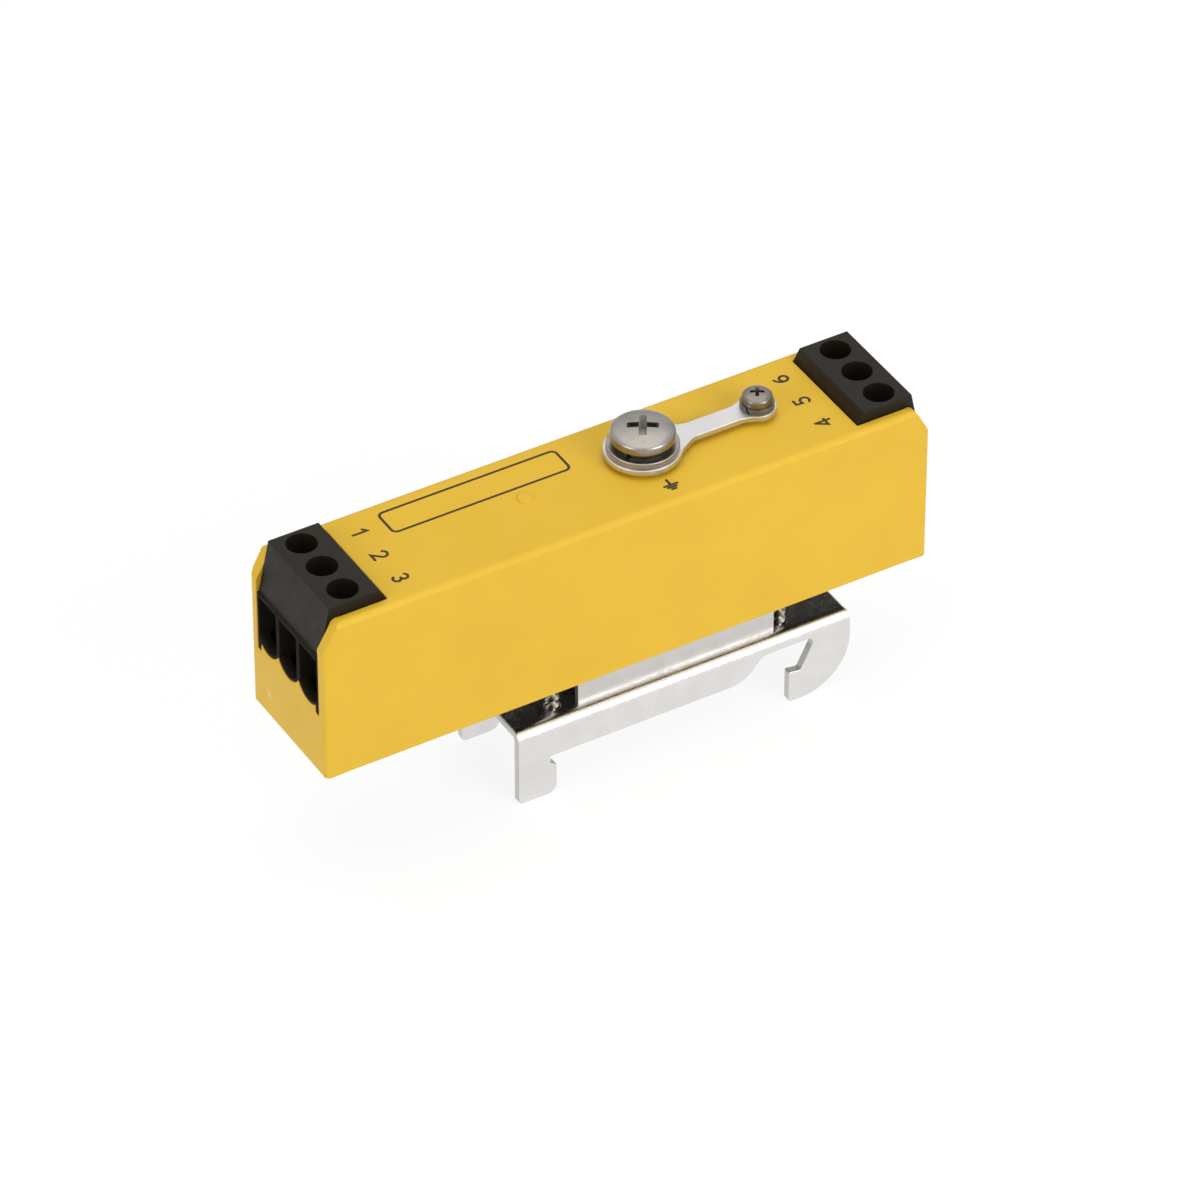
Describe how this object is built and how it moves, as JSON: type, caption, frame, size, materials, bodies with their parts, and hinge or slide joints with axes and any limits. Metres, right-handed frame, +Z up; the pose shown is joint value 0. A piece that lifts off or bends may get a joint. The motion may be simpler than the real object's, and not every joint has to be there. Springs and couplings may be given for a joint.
{
  "type": "signal line surge protector",
  "caption": "Slim rail-mounted surge protector for signal lines: screw terminals at both ends, ground screw with shield link on top, folded spring foot below.",
  "frame": {"origin": "middle of the part's outline seen from above, in the plane that the foot's hooks stand on", "axes": "+X along the housing towards the spring hooks, +Z up from the rail towards the ground screw"},
  "size_m": [0.0864, 0.0186, 0.0456],
  "materials": {
    "yellow_plastic": "fine satin moulding",
    "black_plastic": "satin moulding",
    "board_laminate": "solder mask",
    "tube_ceramic": "glazed ceramic with plated rings",
    "resistor_coating": "cement coating",
    "diode_epoxy": "moulded epoxy",
    "brass": "turned",
    "link_steel": "stamped, satin nickel plating",
    "washer_steel": "plated spring steel",
    "screw_steel": "plated",
    "clamp_steel": "zinc plated",
    "contact_tin": "tin plated",
    "saddle_steel": "plated sheet",
    "spring_steel": "bright nickel-plated spring steel"
  },
  "bodies": {
    "module": {"housing": "yellow_plastic", "base_cover": "black_plastic", "circuit_board": "board_laminate", "left_terminal_block": "black_plastic", "right_terminal_block": "black_plastic", "left_contact_1": "contact_tin", "left_contact_2": "contact_tin", "left_contact_3": "contact_tin", "right_contact_1": "contact_tin", "right_contact_2": "contact_tin", "right_contact_3": "contact_tin", "gas_tube": "tube_ceramic", "front_resistor": "resistor_coating", "rear_resistor": "resistor_coating", "front_diode": "diode_epoxy", "rear_diode": "diode_epoxy", "ground_post": "brass", "shield_post": "brass", "shield_link": "link_steel", "saddle": "saddle_steel", "rail_foot": "spring_steel", "foot_bolt": "screw_steel", "foot_screw_1": "screw_steel", "foot_screw_2": "screw_steel", "foot_screw_3": "screw_steel", "foot_screw_4": "screw_steel"},
    "left_screw_1": {"left_clamp_screw_1": "clamp_steel"},
    "left_cage_1": {"left_clamp_cage_1": "contact_tin"},
    "left_screw_2": {"left_clamp_screw_2": "clamp_steel"},
    "left_cage_2": {"left_clamp_cage_2": "contact_tin"},
    "left_screw_3": {"left_clamp_screw_3": "clamp_steel"},
    "left_cage_3": {"left_clamp_cage_3": "contact_tin"},
    "right_screw_1": {"right_clamp_screw_1": "clamp_steel"},
    "right_cage_1": {"right_clamp_cage_1": "contact_tin"},
    "right_screw_2": {"right_clamp_screw_2": "clamp_steel"},
    "right_cage_2": {"right_clamp_cage_2": "contact_tin"},
    "right_screw_3": {"right_clamp_screw_3": "clamp_steel"},
    "right_cage_3": {"right_clamp_cage_3": "contact_tin"},
    "ground_washers": {"ground_flat_washer": "washer_steel", "ground_lock_washer": "washer_steel"},
    "ground_screw": {"ground_screw": "screw_steel"},
    "shield_washer": {"shield_lock_washer": "washer_steel"},
    "shield_screw": {"shield_screw": "screw_steel"}
  },
  "joints": [
    {"name": "left_clamp_1_lift", "type": "slide", "parent": "module", "child": "left_cage_1", "axis": [0, 0, 1], "range_m": [0, 0.0025]},
    {"name": "left_clamp_1_turn", "type": "hinge", "parent": "module", "child": "left_screw_1", "pos_m": [-0.03812, -0.00508, 0.0377], "axis": [0, 0, 1], "range_deg": [-1801, 0]},
    {"name": "left_clamp_2_lift", "type": "slide", "parent": "module", "child": "left_cage_2", "axis": [0, 0, 1], "range_m": [0, 0.0025]},
    {"name": "left_clamp_2_turn", "type": "hinge", "parent": "module", "child": "left_screw_2", "pos_m": [-0.03812, 0, 0.0377], "axis": [0, 0, 1], "range_deg": [-1801, 0]},
    {"name": "left_clamp_3_lift", "type": "slide", "parent": "module", "child": "left_cage_3", "axis": [0, 0, 1], "range_m": [0, 0.0025]},
    {"name": "left_clamp_3_turn", "type": "hinge", "parent": "module", "child": "left_screw_3", "pos_m": [-0.03812, 0.00508, 0.0377], "axis": [0, 0, 1], "range_deg": [-1801, 0]},
    {"name": "right_clamp_1_lift", "type": "slide", "parent": "module", "child": "right_cage_1", "axis": [0, 0, 1], "range_m": [0, 0.0025]},
    {"name": "right_clamp_1_turn", "type": "hinge", "parent": "module", "child": "right_screw_1", "pos_m": [0.03812, -0.00508, 0.0377], "axis": [0, 0, 1], "range_deg": [-1801, 0]},
    {"name": "right_clamp_2_lift", "type": "slide", "parent": "module", "child": "right_cage_2", "axis": [0, 0, 1], "range_m": [0, 0.0025]},
    {"name": "right_clamp_2_turn", "type": "hinge", "parent": "module", "child": "right_screw_2", "pos_m": [0.03812, 0, 0.0377], "axis": [0, 0, 1], "range_deg": [-1801, 0]},
    {"name": "right_clamp_3_lift", "type": "slide", "parent": "module", "child": "right_cage_3", "axis": [0, 0, 1], "range_m": [0, 0.0025]},
    {"name": "right_clamp_3_turn", "type": "hinge", "parent": "module", "child": "right_screw_3", "pos_m": [0.03812, 0.00508, 0.0377], "axis": [0, 0, 1], "range_deg": [-1801, 0]},
    {"name": "ground_screw_lift", "type": "slide", "parent": "module", "child": "ground_washers", "axis": [0, 0, 1], "range_m": [0, 0.00238]},
    {"name": "ground_screw_turn", "type": "hinge", "parent": "ground_washers", "child": "ground_screw", "pos_m": [0.0074, 0.0006, 0.0413], "axis": [0, 0, 1], "range_deg": [0, 1081]},
    {"name": "shield_screw_lift", "type": "slide", "parent": "module", "child": "shield_washer", "axis": [0, 0, 1], "range_m": [0, 0.0016]},
    {"name": "shield_screw_turn", "type": "hinge", "parent": "shield_washer", "child": "shield_screw", "pos_m": [0.0239, 0.0006, 0.0413], "axis": [0, 0, 1], "range_deg": [0, 1441]}
  ],
  "couplings": [
    {"joint": "left_clamp_1_turn", "follows": "left_clamp_1_lift", "rad_per_m": -12566},
    {"joint": "left_clamp_2_turn", "follows": "left_clamp_2_lift", "rad_per_m": -12566},
    {"joint": "left_clamp_3_turn", "follows": "left_clamp_3_lift", "rad_per_m": -12566},
    {"joint": "right_clamp_1_turn", "follows": "right_clamp_1_lift", "rad_per_m": -12566},
    {"joint": "right_clamp_2_turn", "follows": "right_clamp_2_lift", "rad_per_m": -12566},
    {"joint": "right_clamp_3_turn", "follows": "right_clamp_3_lift", "rad_per_m": -12566},
    {"joint": "ground_screw_turn", "follows": "ground_screw_lift", "rad_per_m": 7915.8},
    {"joint": "shield_screw_turn", "follows": "shield_screw_lift", "rad_per_m": 15708}
  ]
}
